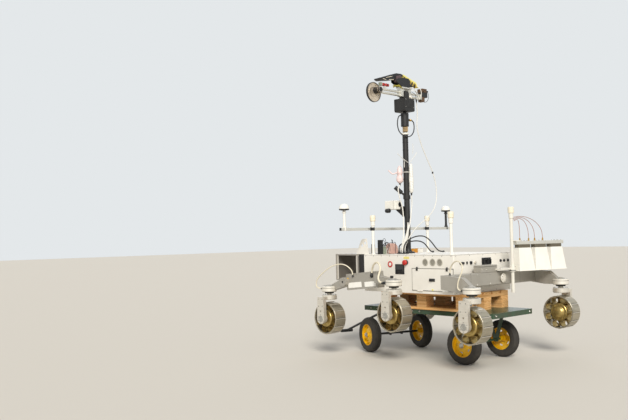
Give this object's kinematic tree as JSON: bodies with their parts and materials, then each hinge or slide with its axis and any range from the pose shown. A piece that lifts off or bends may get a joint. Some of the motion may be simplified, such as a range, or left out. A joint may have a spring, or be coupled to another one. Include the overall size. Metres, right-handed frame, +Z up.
{
  "type": "planetary rover prototype",
  "caption": "Planetary rover prototype with steered flexible metal wheels, instrument mast and radar antennas, resting on a wooden pallet on a hand cart.",
  "frame": {"origin": "On the ground, under the middle of the whole assembly's bounding box.", "axes": "+X is the rover's forward direction, +Y its left, +Z up."},
  "size_m": [2.451, 1.514, 2.529],
  "materials": {
    "bare_alu": "machined",
    "battery_case": "sealed case",
    "black_cord": "black cable sheath",
    "black_paint": "matte black",
    "black_plastic": "moulded",
    "brown_card": "brown cover",
    "copper_coax": "bare copper jacket",
    "cream_cord": "cream cable sheath",
    "gold_chromate": "yellow chromate",
    "green_paint": "dark green paint",
    "grey_anodised": "grey anodised",
    "pine": "sawn pine",
    "rim_sheet": "rolled bright sheet",
    "silver_tube": "drawn tube",
    "tyre_rubber": "pneumatic tyre",
    "vent_grey": "moulded",
    "white_cord": "white cable sheath",
    "white_paint": "satin white paint",
    "white_plastic": "moulded",
    "yellow_paint": "yellow paint"
  },
  "bodies": {
    "rover_on_cart": {"battery": "battery_case", "black_leads": "black_cord", "body_shell": "white_paint", "bogie_left": "grey_anodised", "bogie_rear": "grey_anodised", "bogie_right": "grey_anodised", "cart_frame": "green_paint", "deck_bracket": "white_paint", "deck_plate": "white_paint", "deck_posts": "white_plastic", "deck_units": "black_plastic", "face_fittings": "black_plastic", "front_box": "bare_alu", "front_spacer": "black_paint", "head_cable": "white_cord", "mast": "black_paint", "mast_camera": "white_plastic", "mast_leads": "white_cord", "pallet": "pine", "radar_horns": "white_plastic", "radar_leads": "copper_coax", "radar_mount": "silver_tube", "satellite_bar": "silver_tube", "vents": "vent_grey", "wheel_leads": "cream_cord"},
    "drive_leg_fl": {"leg_fl": "bare_alu"},
    "drive_wheel_fl": {"wheel_fl": "rim_sheet", "hub_fl": "gold_chromate"},
    "drive_leg_fr": {"leg_fr": "bare_alu"},
    "drive_wheel_fr": {"wheel_fr": "rim_sheet", "hub_fr": "gold_chromate"},
    "drive_leg_ml": {"leg_ml": "bare_alu"},
    "drive_wheel_ml": {"wheel_ml": "rim_sheet", "hub_ml": "gold_chromate"},
    "drive_leg_mr": {"leg_mr": "bare_alu"},
    "drive_wheel_mr": {"wheel_mr": "rim_sheet", "hub_mr": "gold_chromate"},
    "drive_leg_rl": {"leg_rl": "bare_alu"},
    "drive_wheel_rl": {"wheel_rl": "rim_sheet", "hub_rl": "gold_chromate"},
    "drive_leg_rr": {"leg_rr": "bare_alu"},
    "drive_wheel_rr": {"wheel_rr": "rim_sheet", "hub_rr": "gold_chromate"},
    "access_door": {"access_door": "white_paint", "door_fittings": "black_plastic"},
    "pan_head": {"pan_unit": "black_plastic"},
    "camera_head": {"head_box": "brown_card", "head_cover": "black_plastic", "head_disc": "bare_alu", "head_frame": "bare_alu"},
    "cart_front_axle": {"front_axle": "black_paint"},
    "cart_handle": {"pull_handle": "black_paint"},
    "cart_wheel_fl": {"cart_tyre_fl": "tyre_rubber", "cart_rim_fl": "yellow_paint"},
    "cart_wheel_fr": {"cart_tyre_fr": "tyre_rubber", "cart_rim_fr": "yellow_paint"},
    "cart_wheel_rl": {"cart_tyre_rl": "tyre_rubber", "cart_rim_rl": "yellow_paint"},
    "cart_wheel_rr": {"cart_tyre_rr": "tyre_rubber", "cart_rim_rr": "yellow_paint"}
  },
  "joints": [
    {"name": "steer_fl", "type": "hinge", "parent": "rover_on_cart", "child": "drive_leg_fl", "pos_m": [0.443, 0.64, 0.5355], "axis": [0, 0, 1], "range_deg": [-40, 40]},
    {"name": "spin_fl", "type": "hinge", "parent": "drive_leg_fl", "child": "drive_wheel_fl", "pos_m": [0.443, 0.64, 0.3355], "axis": [0, 1, 0], "continuous": true},
    {"name": "steer_fr", "type": "hinge", "parent": "rover_on_cart", "child": "drive_leg_fr", "pos_m": [0.443, -0.64, 0.5355], "axis": [0, 0, 1], "range_deg": [-40, 40]},
    {"name": "spin_fr", "type": "hinge", "parent": "drive_leg_fr", "child": "drive_wheel_fr", "pos_m": [0.443, -0.64, 0.3355], "axis": [0, 1, 0], "continuous": true},
    {"name": "steer_ml", "type": "hinge", "parent": "rover_on_cart", "child": "drive_leg_ml", "pos_m": [-0.32, 0.64, 0.6095], "axis": [0, 0, 1], "range_deg": [-40, 40]},
    {"name": "spin_ml", "type": "hinge", "parent": "drive_leg_ml", "child": "drive_wheel_ml", "pos_m": [-0.32, 0.64, 0.4095], "axis": [0, 1, 0], "continuous": true},
    {"name": "steer_mr", "type": "hinge", "parent": "rover_on_cart", "child": "drive_leg_mr", "pos_m": [-0.32, -0.64, 0.6095], "axis": [0, 0, 1], "range_deg": [-40, 40]},
    {"name": "spin_mr", "type": "hinge", "parent": "drive_leg_mr", "child": "drive_wheel_mr", "pos_m": [-0.32, -0.64, 0.4095], "axis": [0, 1, 0], "continuous": true},
    {"name": "steer_rl", "type": "hinge", "parent": "rover_on_cart", "child": "drive_leg_rl", "pos_m": [-1.083, 0.64, 0.5725], "axis": [0, 0, 1], "range_deg": [-40, 40]},
    {"name": "spin_rl", "type": "hinge", "parent": "drive_leg_rl", "child": "drive_wheel_rl", "pos_m": [-1.083, 0.64, 0.3725], "axis": [0, 1, 0], "continuous": true},
    {"name": "steer_rr", "type": "hinge", "parent": "rover_on_cart", "child": "drive_leg_rr", "pos_m": [-1.083, -0.64, 0.5725], "axis": [0, 0, 1], "range_deg": [-40, 40]},
    {"name": "spin_rr", "type": "hinge", "parent": "drive_leg_rr", "child": "drive_wheel_rr", "pos_m": [-1.083, -0.64, 0.3725], "axis": [0, 1, 0], "continuous": true},
    {"name": "door_hinge", "type": "hinge", "parent": "rover_on_cart", "child": "access_door", "pos_m": [-0.5285, 0.404, 0.59], "axis": [-1, 0, 0], "range_deg": [0, 50]},
    {"name": "mast_pan", "type": "hinge", "parent": "rover_on_cart", "child": "pan_head", "pos_m": [0.061, 0, 2.24], "axis": [0, 0, 1], "range_deg": [-170, 170]},
    {"name": "mast_tilt", "type": "hinge", "parent": "pan_head", "child": "camera_head", "pos_m": [0.061, 0, 2.345], "axis": [0, 1, 0], "range_deg": [-20, 20]},
    {"name": "cart_steer", "type": "hinge", "parent": "rover_on_cart", "child": "cart_front_axle", "pos_m": [0.236, 0, 0.36], "axis": [0, 0, 1], "range_deg": [-12, 48]},
    {"name": "handle_hinge", "type": "hinge", "parent": "cart_front_axle", "child": "cart_handle", "pos_m": [0.39768, -0.05253, 0.352], "axis": [0.309, 0.9511, 0], "range_deg": [-45, 0]},
    {"name": "cart_spin_fl", "type": "hinge", "parent": "cart_front_axle", "child": "cart_wheel_fl", "pos_m": [0.31944, 0.25678, 0.1575], "axis": [0.309, 0.9511, 0], "continuous": true},
    {"name": "cart_spin_fr", "type": "hinge", "parent": "cart_front_axle", "child": "cart_wheel_fr", "pos_m": [0.15257, -0.25678, 0.1575], "axis": [0.309, 0.9511, 0], "continuous": true},
    {"name": "cart_spin_rl", "type": "hinge", "parent": "rover_on_cart", "child": "cart_wheel_rl", "pos_m": [-0.73, 0.27, 0.1575], "axis": [0, 1, 0], "continuous": true},
    {"name": "cart_spin_rr", "type": "hinge", "parent": "rover_on_cart", "child": "cart_wheel_rr", "pos_m": [-0.73, -0.27, 0.1575], "axis": [0, 1, 0], "continuous": true}
  ]
}
